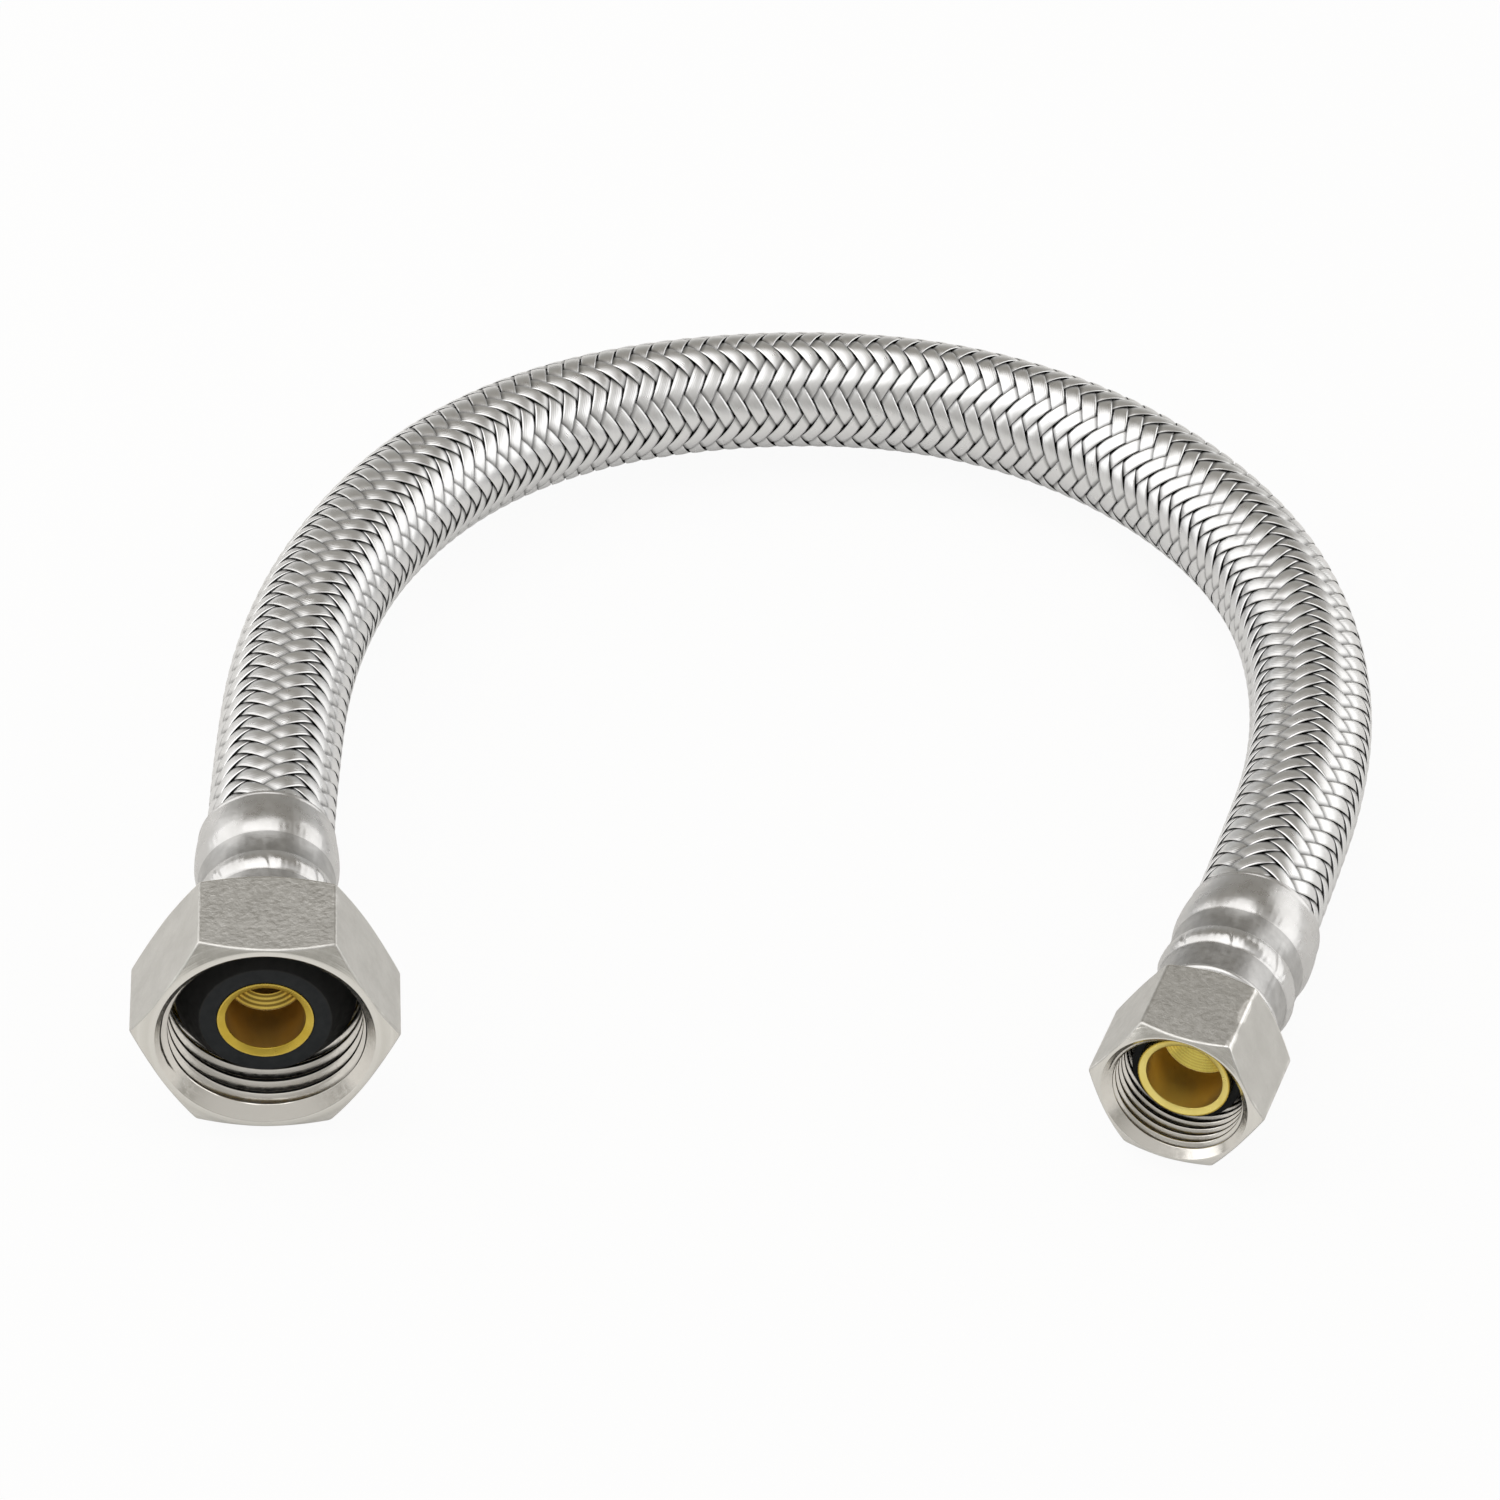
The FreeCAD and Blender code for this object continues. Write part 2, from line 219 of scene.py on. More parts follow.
class Finish:
    # a metal or rubber with its own grain; the turning axis of a fitting is its y
    def __init__(self, name, metal=1.0):
        self.material = bpy.data.materials.new(name)
        self.material.use_nodes = True
        self.tree = self.material.node_tree
        self.shader = self.tree.nodes["Principled BSDF"]
        self.shader.inputs["Metallic"].default_value = metal
        self.spot = self.add("ShaderNodeTexCoord").outputs["Object"]
        self.normal = None

    def add(self, kind, **settings):
        node = self.tree.nodes.new(kind)
        for setting, value in settings.items():
            setattr(node, setting, value)
        return node

    def join(self, source, target):
        self.tree.links.new(source, target)

    def noise(self, scale, detail, where=None):
        node = self.add("ShaderNodeTexNoise")
        node.inputs["Scale"].default_value = scale
        node.inputs["Detail"].default_value = detail
        self.join(where or self.spot, node.inputs["Vector"])
        return node.outputs["Fac"]

    def mark(self, name):
        # a value that markPoints left on the mesh
        return self.add("ShaderNodeAttribute", attribute_name=name).outputs["Fac"]

    def math(self, operation, first, second=None):
        return mathNode(self.tree, operation, first, second)

    def spread(self, source, low, high, start=0.3, finish=0.7):
        return rangeNode(self.tree, source, start, finish, low, high)

    def tint(self, source, dark, pale, worn=None, start=0.3, finish=0.7):
        # dark up to start, pale at finish, and worn at 1, which on the nuts is partly a painted highlight
        ramp = self.add("ShaderNodeValToRGB")
        points = ramp.color_ramp.elements
        points[0].position, points[1].position = start, finish
        points[0].color, points[1].color = (*dark, 1), (*pale, 1)
        if worn is not None:
            points.new(1.0).color = (*worn, 1)
        self.join(source, ramp.inputs["Fac"])
        self.join(ramp.outputs["Color"], self.shader.inputs["Base Color"])

    def rough(self, source, low, high):
        self.join(self.spread(source, low, high), self.shader.inputs["Roughness"])

    def bump(self, source, height):
        # relief of so many millimetres, on top of the bumps before it
        node = self.add("ShaderNodeBump")
        node.inputs["Strength"].default_value = 1.0
        node.inputs["Distance"].default_value = height * mm
        self.join(source, node.inputs["Height"])
        if self.normal is not None:
            self.join(self.normal, node.inputs["Normal"])
        self.normal = node.outputs["Normal"]
        self.join(self.normal, self.shader.inputs["Normal"])

    def split(self, place):
        parts = self.add("ShaderNodeSeparateXYZ")
        self.join(place, parts.inputs[0])
        return parts.outputs

    def combine(self, **parts):
        node = self.add("ShaderNodeCombineXYZ")
        for axis, source in parts.items():
            self.join(source, node.inputs[axis])
        return node.outputs[0]

    def streaks(self):
        # a place that doesn't change along the axis
        parts = self.split(self.spot)
        return self.combine(X=parts["X"], Z=parts["Z"])

    def rings(self):
        # a place that only changes with the distance from the axis and along it
        distance = self.add("ShaderNodeVectorMath", operation="LENGTH")
        self.join(self.streaks(), distance.inputs[0])
        return self.combine(X=distance.outputs["Value"], Y=self.split(self.spot)["Y"])


def forgedNickel(name, pebble, wearAndHighlight):
    # a pebbled skin, rubbed bright in patches along the worn edges, partly by use and partly as a painted
    # highlight
    finish = Finish(name)
    patches = finish.spread(finish.noise(scale=330, detail=5), low=0.0, high=wearAndHighlight, start=0.3, finish=0.62)
    worn = finish.math("MULTIPLY", finish.mark("edgeWearAndHighlight"), patches)
    cloudy = finish.spread(finish.noise(scale=420, detail=3), low=0.3, high=0.68)
    # the near-white worn colour is partly a painted highlight on the edges
    finish.tint(finish.math("ADD", cloudy, worn),
                dark=(0.585, 0.58, 0.56), pale=(0.655, 0.65, 0.63), worn=(0.97, 0.965, 0.95))
    finish.rough(finish.noise(scale=1500, detail=4), low=0.3, high=0.44)
    finish.bump(finish.noise(scale=1900, detail=1.5), height=pebble)
    finish.bump(finish.noise(scale=5200, detail=3), height=0.014)
    return finish.material


def turnedNickel():
    # bright, with the rings that the turning tool leaves
    finish = Finish("turnedNickel")
    rings = finish.rings()
    finish.tint(finish.noise(scale=900, detail=3, where=rings),
                dark=(0.72, 0.71, 0.67), pale=(0.88, 0.87, 0.84))
    finish.rough(finish.noise(scale=1400, detail=2), low=0.15, high=0.25)
    finish.bump(finish.noise(scale=2600, detail=3, where=rings), height=0.04)
    return finish.material


def threadNickel():
    # bright on the crests and the bevel, with painted shade dark down in the roots
    finish = Finish("threadNickel")
    finish.tint(finish.mark("threadDepth"), dark=(0.80, 0.78, 0.74), pale=(0.04, 0.038, 0.036),
                start=0.5, finish=0.96)
    finish.rough(finish.noise(scale=2200, detail=2), low=0.14, high=0.27)
    finish.bump(finish.noise(scale=5200, detail=2, where=finish.rings()), height=0.004)
    return finish.material


def brightSleeve():
    finish = Finish("brightSleeve")
    finish.tint(finish.noise(scale=380, detail=4), dark=(0.63, 0.63, 0.63), pale=(0.73, 0.73, 0.735))
    finish.rough(finish.noise(scale=900, detail=4), low=0.25, high=0.34)
    finish.bump(finish.noise(scale=380, detail=2), height=0.06)
    finish.bump(finish.noise(scale=1100, detail=2, where=finish.streaks()), height=0.02)
    finish.bump(finish.noise(scale=3200, detail=3), height=0.005)
    return finish.material


def crimpedSleeve():
    # duller where the jaws have pressed it
    finish = Finish("crimpedSleeve")
    finish.tint(finish.noise(scale=700, detail=4), dark=(0.42, 0.42, 0.42), pale=(0.54, 0.54, 0.54))
    finish.rough(finish.noise(scale=1500, detail=3), low=0.3, high=0.42)
    finish.bump(finish.noise(scale=4200, detail=3, where=finish.rings()), height=0.012)
    finish.bump(finish.noise(scale=1800, detail=3), height=0.012)
    return finish.material


def wireSteel():
    # bright where the ribbon lies on top, with painted shade where it sinks under the other ribbons and
    # on its underside
    finish = Finish("wireSteel")
    stain = finish.math("MULTIPLY", finish.noise(scale=260, detail=2), 0.06)
    finish.tint(finish.math("ADD", finish.mark("wirePaintedLight"), stain),
                dark=(0.05, 0.05, 0.051), pale=(0.835, 0.842, 0.853), start=0.03, finish=0.95)
    finish.rough(finish.noise(scale=700, detail=2), low=0.27, high=0.33)
    wires = finish.math("COSINE", finish.math("MULTIPLY", finish.mark("wireAcross"), math.pi))
    finish.bump(finish.math("ABSOLUTE", wires), height=braid["wireRelief"])
    return finish.material


def brassFinish(name, dark, pale, rough):
    finish = Finish(name)
    finish.tint(finish.noise(scale=500, detail=3), dark, pale)
    finish.rough(finish.noise(scale=1400, detail=3), *rough)
    finish.bump(finish.noise(scale=3000, detail=3, where=finish.rings()), height=0.006)
    return finish.material


def drillPoint(name, dark, pale, apart):
    # the drill's cone at the bottom of a bore, with the rings that it leaves, so many millimetres apart;
    # the rings' dark colour is painted shade in their grooves
    finish = Finish(name)
    rings = finish.rings()
    turns = finish.math("MULTIPLY", finish.split(rings)["X"], 2 * math.pi / (apart * mm))
    uneven = finish.math("MULTIPLY", finish.noise(scale=500, detail=3), 0.9)
    finish.tint(finish.math("ADD", finish.math("SINE", turns), uneven), dark, pale, start=0.0, finish=1.0)
    finish.rough(finish.noise(scale=1400, detail=3), low=0.24, high=0.32)
    finish.bump(finish.noise(scale=2600, detail=2, where=rings), height=0.01)
    return finish.material


def rubberFinish(name, dark, pale, rough):
    finish = Finish(name, metal=0.0)
    finish.shader.inputs["Specular IOR Level"].default_value = 0.2
    finish.tint(finish.noise(scale=900, detail=4), dark, pale)
    finish.rough(finish.noise(scale=1600, detail=3), *rough)
    finish.bump(finish.noise(scale=1800, detail=4), height=0.012)
    return finish.material


# the hose: its line, the rubber tube in it and the braid over it

hose = {  # sizes in metres
    "outside": 0.013,
    "length": 0.2757,
    "tubeRadius": 0.00585,
    "lineSteps": 48,  # steps between two route points, for the line that the braid follows
    "tubeSteps": 16,
    "tubeSides": 8,
    "route": [  # the same points as the construction's
        (0.0, 0.0146, 0.0),
        (0.0, 0.0325, 0.0),
        (0.003, 0.069, -0.0016),
        (0.0175, 0.0985, -0.0032),
        (0.040, 0.1145, -0.0043),
        (0.0715, 0.1185, -0.0049),
        (0.0955, 0.1075, -0.005),
        (0.1105, 0.0855, -0.005),
        (0.112, 0.0565, -0.0045),
        (0.100993, 0.024851, -0.0035625),
        (0.094510, 0.009354, -0.0035625),
    ],
}


def hoseCurve():
    data = bpy.data.curves.new("inner_hose", "CURVE")
    data.dimensions = "3D"
    spline = data.splines.new("NURBS")
    spline.points.add(len(hose["route"]) - 1)
    for point, spot in zip(spline.points, hose["route"]):
        point.co = (*spot, 1.0)
    spline.order_u = 3
    spline.use_endpoint_u = True
    data.resolution_u = hose["lineSteps"]
    return data


def hoseLine(data):
    # the line's own points, with the two directions across it: up, and to the side
    bare = bpy.data.objects.new("bareLine", data.copy())
    mesh = bpy.data.meshes.new_from_object(bare)
    points = np.array([vertex.co for vertex in mesh.vertices], float)
    bpy.data.meshes.remove(mesh)
    bpy.data.curves.remove(bare.data)
    along = np.concatenate([[0], np.cumsum(np.linalg.norm(np.diff(points, axis=0), axis=1))])
    ahead = np.gradient(points, along, axis=0)
    ahead /= np.linalg.norm(ahead, axis=1, keepdims=True)
    up = np.array([0, 0, 1.0]) - ahead * ahead[:, 2:3]
    up /= np.linalg.norm(up, axis=1, keepdims=True)
    return along, points, up, np.cross(ahead, up)


lineData = hoseCurve()
lineAlong, linePoints, lineUp, lineSide = hoseLine(lineData)
lineLength = lineAlong[-1]
print("hose line:", round(lineLength, 4), "m")


def onHose(distance, angle, radius):
    # points at a distance along the hose, an angle round it from the top and a radius
    distance = np.clip(distance, 0, lineLength)
    centre, up, side = (
        np.stack([np.interp(distance, lineAlong, values[:, axis]) for axis in range(3)], axis=-1)
        for values in (linePoints, lineUp, lineSide))
    return centre + radius[..., None] * (
        np.cos(angle)[..., None] * up + np.sin(angle)[..., None] * side)


braid = {  # sizes in millimetres
    "ribbonsEachWay": 12,
    "chevron": 2.14,  # from one chevron to the next
    "radius": 6.23,
    "ribbonWidth": 1.62,
    "wires": 7,
    "wireRelief": 0.007,
    "thickness": 0.17,
    "weave": 0.2,  # how far a ribbon rises and sinks
    "snap": 1.2,  # how fast it does so: more makes longer flat stretches
    "crown": 0.06,
    "columns": 9,
    "underside": (0.46, 0.0, -0.46),
    "paintedShadeFull": -0.35,  # the weave's heights, from -1 to 1, between which the wire's painted shade fades out
    "paintedShadeGone": 0.7,
    "squeeze": 0.26,  # how much the ferrules press the braid in
    "squeezeFrom": 4.0,
    "squeezeTo": 13.0,
    "turn": 5.0,  # degrees
    "samples": 6,  # rows to half a chevron
    "pieces": 6,
}


def ribbonProfile():
    # across a ribbon, from -0.5 to 0.5: its crowned top, then back underneath
    top = np.linspace(-0.5, 0.5, braid["columns"])
    crowned = braid["thickness"] / 2 - braid["crown"] * (2 * top) ** 2
    place = np.concatenate([top, braid["underside"]])
    flat = np.full(len(braid["underside"]), -braid["thickness"] / 2)
    return place, np.concatenate([crowned, flat]), np.arange(len(place)) >= len(top)


def smoothStep(value, start, finish):
    share = np.clip((value - start) / (finish - start), 0, 1)
    return share * share * (3 - 2 * share)


def weaveHeight(place):
    # two over, two under: place counts crossings, and 0 is the middle of a float
    wave = np.cos(place * math.pi / 2)
    return np.tanh(braid["snap"] * wave) / math.tanh(braid["snap"])


def ribbonPoints(number, way):
    ribbons = braid["ribbonsEachWay"]
    step = 2 * math.pi / ribbons
    twist = step / braid["chevron"]  # radians a millimetre
    slope = math.atan(twist * braid["radius"])
    length = lineLength / mm
    count = int(length / braid["chevron"] * 2 * braid["samples"]) + 1
    distance = np.linspace(0, length, count)[:, None]
    place, height, under = ribbonProfile()
    across = place * braid["ribbonWidth"]
    angle = number * step + way * twist * distance + across * math.cos(slope) / braid["radius"]
    distance = distance - way * across * math.sin(slope)
    crossed = (angle + way * twist * distance) / step  # the other way's ribbons, counted
    rise = way * weaveHeight(crossed + number - 0.5)  # a float's middle lies between two crossings
    fromEnd = np.minimum(distance, length - distance)
    squeeze = braid["squeeze"] * (1 - smoothStep(fromEnd, braid["squeezeFrom"], braid["squeezeTo"]))
    radius = braid["radius"] + rise * braid["weave"] + height - squeeze
    # painted shade: black on the underside, darkening as the ribbon sinks under the other ribbons
    light = np.where(under, 0, smoothStep(rise, braid["paintedShadeFull"], braid["paintedShadeGone"]))
    wire = np.broadcast_to(place * braid["wires"], light.shape)
    return onHose(distance * mm, angle + math.radians(braid["turn"]), radius * mm), light, wire


def ribbonQuads(count, wide, way):
    row, column = np.meshgrid(np.arange(count - 1), np.arange(wide), indexing="ij")
    nextColumn = (column + 1) % wide
    corners = [row * wide + column, (row + 1) * wide + column,
               (row + 1) * wide + nextColumn, row * wide + nextColumn]
    if way < 0:
        corners.reverse()
    return np.stack(corners, axis=-1).reshape(-1, 4)


def braidPieces(finish):
    ribbons = [(number, way) for way in (1, -1) for number in range(braid["ribbonsEachWay"])]
    each = len(ribbons) // braid["pieces"]
    pieces = []
    for index in range(braid["pieces"]):
        points, quads, lights, wires, start = [], [], [], [], 0
        for number, way in ribbons[index * each:(index + 1) * each]:
            grid, light, wire = ribbonPoints(number, way)
            lights.append(light.ravel())
            wires.append(wire.ravel())
            quads.append(ribbonQuads(grid.shape[0], grid.shape[1], way) + start)
            points.append(grid.reshape(-1, 3))
            start += points[-1].shape[0]
        name = f"braid_ribbons_{index + 1}"
        mesh = meshOfQuads(name, np.concatenate(points), np.concatenate(quads))
        # the ribbons' painted shade goes on the mesh here
        markPoints(mesh, "wirePaintedLight", np.concatenate(lights))
        markPoints(mesh, "wireAcross", np.concatenate(wires))
        pieces.append(addPiece(name, mesh, [finish], "line", ["steel_braid"]))
    return pieces


def buildHose():
    ribbons = braidPieces(wireSteel())
    lineData.resolution_u = hose["tubeSteps"]
    lineData.bevel_depth = hose["tubeRadius"]
    lineData.bevel_resolution = hose["tubeSides"]
    lineData.use_fill_caps = True
    rubber = rubberFinish("hoseRubber", dark=(0.012, 0.012, 0.012), pale=(0.03, 0.03, 0.03),
                          rough=(0.52, 0.68))
    tube = addPiece("inner_hose", lineData, [rubber], "line", ["inner_tube"])


buildHose()
print("hose and braid made")


# how a fitting lies: y runs from its mouth inwards, z is up

def fittingPlace(nut):
    joint = next(joint for joint in frame["joints"] if joint["child"] == nut)
    turn = Vector((0, 1, 0)).rotation_difference(Vector(joint["axis"]))
    return Matrix.Translation(joint["pos_m"]) @ turn.to_matrix().to_4x4()


places = {"large": fittingPlace("large_nut"), "small": fittingPlace("small_nut")}


# coupling nuts, all sizes in millimetres

nuts = {
    "large": {
        "halfFlats": 11.5, "length": 11.3, "edge": 0.45,
        "face": 11.25, "mouth": 10.8, "crest": 9.525, "root": 10.46, "pitch": 1.814,
        "shoulder": 9.3, "passage": 5.3, "pebble": 0.04, "wearAndHighlight": 0.5,
        "worn": (0.35, 0.5, 0.5, 0.5, 0.5, 0.1),  # how much each long edge is rubbed bright and painted with highlight, from the top's right one round
    },
    "small": {
        "halfFlats": 7.9375, "length": 11.2, "edge": 0.5,
        "face": 7.65, "mouth": 7.55, "crest": 6.57, "root": 7.12, "pitch": 1.058,
        "shoulder": 9.3, "passage": 5.3, "pebble": 0.024, "wearAndHighlight": 0.9,
        "worn": (1.0, 0.6, 0.5, 0.5, 0.6, 0.12),
    },
}
nutShape = {
    "cornerAngle": 30.0,
    "wornEdge": 0.22,
    "mouthEdge": 0.12,
    "rearEdge": 0.1,
    "flatColumns": 33,
    "edgeColumns": 5,
    "wearStart": 0.9,  # shares of a flat's half angle between which a long edge's rubbing and painted highlight set in
    "wearFull": 1.02,
    "wearDepth": 0.1,  # how far under the outside it reaches
    "frontWearAndHighlight": 0.6,
    "frontFade": 0.2,
    "sheetStart": 0.45,  # share of the mouth's rounding at which the thread's sheet begins
    "runIn": 0.6,  # share of the pitch over which the thread deepens at the mouth
    # one thread turn: share of the pitch, share of the depth
    "turn": [(0.0, 0.0), (0.06, 0.0), (0.105, 0.0), (0.13, 0.04), (0.2, 0.27), (0.27, 0.5),
             (0.34, 0.73), (0.40, 0.95), (0.43, 1.0), (0.5, 1.0), (0.57, 1.0), (0.60, 0.95),
             (0.66, 0.73), (0.73, 0.5), (0.80, 0.27), (0.87, 0.04), (0.895, 0.0), (0.94, 0.0)],
    "weld": 1e-7,  # metres, and so is the next
    "sliver": 1e-8,
}
halfFlat = math.radians(30)  # half of the angle that one flat takes


def hexagonColumns(sizes):
    # angles round the nut, close together at its six long edges
    flatEnd = math.atan((sizes["halfFlats"] - sizes["edge"]) * math.tan(halfFlat) / sizes["halfFlats"])
    rising = np.linspace(flatEnd, halfFlat, nutShape["edgeColumns"])[1:]
    flat = np.linspace(-flatEnd, flatEnd, nutShape["flatColumns"])
    sector = np.concatenate([-rising[:-1][::-1], flat, rising])
    return np.concatenate([sector + side * 2 * halfFlat for side in range(6)]), flatEnd


def fromMiddle(angles):
    # how far each angle is from the middle of its flat
    return np.abs((angles + halfFlat) % (2 * halfFlat) - halfFlat)


def hexagonRadius(angles, flatEnd, sizes):
    turned = fromMiddle(angles)
    flat = sizes["halfFlats"] / np.cos(turned)
    centre = (sizes["halfFlats"] - sizes["edge"]) / math.cos(halfFlat)
    lean = halfFlat - turned
    inside = np.maximum(sizes["edge"] ** 2 - (centre * np.sin(lean)) ** 2, 0)
    rounded = centre * np.cos(lean) + np.sqrt(inside)
    return np.where(turned > flatEnd, rounded, flat)


def coneRise(outer, sizes):
    # how far in from a nut's end its chamfer meets the outside
    return (outer - sizes["face"]) * math.tan(math.radians(nutShape["cornerAngle"]))


def nutShell(sizes, angles, flatEnd, start):
    # everything but the thread, from the bevel's edge over the outside to the shoulder
    outer = hexagonRadius(angles, flatEnd, sizes)
    rise = coneRise(outer, sizes)
    worn, rear = nutShape["wornEdge"], nutShape["rearEdge"]
    forged, turned = 0, 1
    corners = [
        (sizes["mouth"] - start, start, 0, turned),
        (sizes["mouth"], 0.0, nutShape["mouthEdge"], turned),
        (sizes["face"], 0.0, worn, turned),
        (outer, rise, worn, forged),
        (outer, sizes["length"] - rise, worn, turned),
        (sizes["face"], sizes["length"], worn, turned),
        (sizes["passage"], sizes["length"], rear, turned),
        (sizes["passage"], sizes["shoulder"], rear, turned),
        (sizes["crest"], sizes["shoulder"], 0, turned),
    ]
    return roundedRows(corners, len(angles))


def threadSheet(sizes, angles, start):
    # rows climb with the thread, so a row at the end of one turn meets a later row at its start
    pitch, finish = sizes["pitch"], sizes["shoulder"]
    turns = math.ceil((finish - start) / pitch) + 1
    climb = pitch * (angles - angles[0]) / (2 * math.pi)
    depth = sizes["root"] - sizes["crest"]
    rows, depths = [], []
    for turn in range(turns):
        for share, deep in nutShape["turn"]:
            height = np.clip(start + (turn + share - 1) * pitch + climb, start, finish)
            runIn = smoothStep(height, start, start + nutShape["runIn"] * pitch)
            runOut = smoothStep(finish - height, 0, pitch)
            bevel = sizes["mouth"] - height
            radius = np.maximum(sizes["crest"] + depth * deep * runIn * runOut, bevel)
            rows.append(np.stack([radius, height], axis=-1))
            # how deep each point lies in a root, which threadNickel paints with shade
            depths.append((radius - np.maximum(bevel, sizes["crest"])) / depth)
    return np.array(rows), np.array(depths), len(nutShape["turn"])


def threadQuads(rows, columns, perTurn):
    quads = []
    row = np.arange(rows - 1)
    for column in range(columns):
        if column < columns - 1:
            quads.append(np.stack([row * columns + column, row * columns + column + 1,
                                   (row + 1) * columns + column + 1,
                                   (row + 1) * columns + column], axis=-1))
        else:
            kept = row[: rows - 1 - perTurn]
            quads.append(np.stack([kept * columns + column, (kept + perTurn) * columns,
                                   (kept + perTurn + 1) * columns,
                                   (kept + 1) * columns + column], axis=-1))
    return np.concatenate(quads)


def edgeWearAndHighlight(shell, angles, flatEnd, sizes):
    # rubbing and painted highlight, most on the long edges and on the front chamfer's edge, fading to 0
    # beside them
    long = smoothStep(fromMiddle(angles), nutShape["wearStart"] * flatEnd, nutShape["wearFull"] * flatEnd)
    long *= np.array(sizes["worn"])[(angles % (2 * math.pi) // (2 * halfFlat)).astype(int) % 6]
    outer = hexagonRadius(angles, flatEnd, sizes)
    away = np.hypot(shell[..., 0] - outer, shell[..., 1] - coneRise(outer, sizes))
    front = nutShape["frontWearAndHighlight"] * np.clip(1 - away / nutShape["frontFade"], 0, 1)
    return np.maximum(long * (shell[..., 0] > outer - nutShape["wearDepth"]), front)


def couplingNut(end, finishes):
    sizes = nuts[end]
    angles, flatEnd = hexagonColumns(sizes)
    start = nutShape["sheetStart"] * nutShape["mouthEdge"]
    shell, zones = nutShell(sizes, angles, flatEnd, start)
    thread, depths, perTurn = threadSheet(sizes, angles, start)
    columns = len(angles)
    points = np.concatenate([turnedPoints(shell, angles), turnedPoints(thread, angles)])
    shellQuads = gridQuads(len(shell), columns, False)
    sheetQuads = threadQuads(len(thread), columns, perTurn) + len(shell) * columns
    mesh = meshOfQuads(f"{end}_nut_threaded", points, np.concatenate([shellQuads, sheetQuads]))
    zone = np.concatenate([np.repeat(zones[:-1], columns), np.full(len(sheetQuads), 2)])
    mesh.polygons.foreach_set("material_index", zone.astype(np.int32))
    wearAndHighlight = edgeWearAndHighlight(shell, angles, flatEnd, sizes).ravel()
    markPoints(mesh, "edgeWearAndHighlight", np.concatenate([wearAndHighlight, np.zeros(depths.size)]))
    markPoints(mesh, "threadDepth", np.concatenate([np.zeros(wearAndHighlight.size), depths.ravel()]))
    weld = bmesh.new()
    weld.from_mesh(mesh)
    bmesh.ops.remove_doubles(weld, verts=weld.verts, dist=nutShape["weld"])
    bmesh.ops.dissolve_degenerate(weld, edges=weld.edges, dist=nutShape["sliver"])
    bmesh.ops.recalc_face_normals(weld, faces=weld.faces)
    loose = sum(not edge.is_manifold for edge in weld.edges)
    weld.to_mesh(mesh)
    weld.free()
    piece = addPiece(f"{end}_nut_threaded", mesh, finishes, f"{end}_nut",
                     [f"{end}_nut"], places[end])
    evenShade(piece)
    print(end, "nut made, open edges:", loose)


def buildNuts():
    turned, thread = turnedNickel(), threadNickel()
    for end in nuts:
        forged = forgedNickel(f"{end}ForgedNickel", nuts[end]["pebble"], nuts[end]["wearAndHighlight"])
        couplingNut(end, [forged, turned, thread])


buildNuts()


# inserts: nose, head, grooved shank and barbed tail

inserts = {
    "large": {"nose": 2.8, "dish": 0.4, "headFront": 7.6, "headBack": 9.2, "head": 8.9,
              "groove": 13.15, "hose": 14.6, "ring": 0.4, "pilot": 2.5},
    "small": {"nose": 3.35, "dish": 0.27, "headFront": 7.9, "headBack": 9.2, "head": 6.2,
              "groove": 12.05, "hose": 13.5, "ring": 0.24, "pilot": 2.1},
}
turning = {
    "nose": 4.7625, "bore": 3.9, "boreDepth": 6.0, "drillPoint": 118.0, "tailBore": 2.05,
    "pilotDepth": 1.6,  # a short wider start of the tail's bore
    "shank": 5.2, "grooveRadius": 4.6, "grooveWidth": 0.55, "root": 3.55, "barb": 4.05,
    "barbPitch": 3.0, "barbs": 4, "tailLead": 2.0,
    # how far the corners' roundings reach
    "faceEdge": 0.1, "noseEdge": 0.2, "headEdge": 0.1, "fineEdge": 0.05, "pilotEdge": 0.03,
    "boreEdge": 0.04,
    "columns": 160,
}
brass = {  # the darkest and palest colour of each surface; the small insert's face is painted paler as a painted reflection, and the large insert's bore darker as painted shade
    "large": {
        "face": ((0.60, 0.43, 0.06), (0.68, 0.50, 0.085)),
        # painted shade: darker than the small insert's bore
        "bore": ((0.71, 0.53, 0.25), (0.75, 0.58, 0.29)),
        # painted shade: the dark end gives the drill point's dark rings
        "point": ((0.30, 0.20, 0.04), (0.90, 0.67, 0.15)),
    },
    "small": {
        "face": ((0.90, 0.74, 0.22), (0.98, 0.83, 0.28)),
        # painted reflection: paler than the large insert's face
        "bore": ((0.80, 0.61, 0.31), (0.84, 0.66, 0.35)),
        "point": ((0.84, 0.68, 0.15), (0.98, 0.84, 0.20)),
    },
}


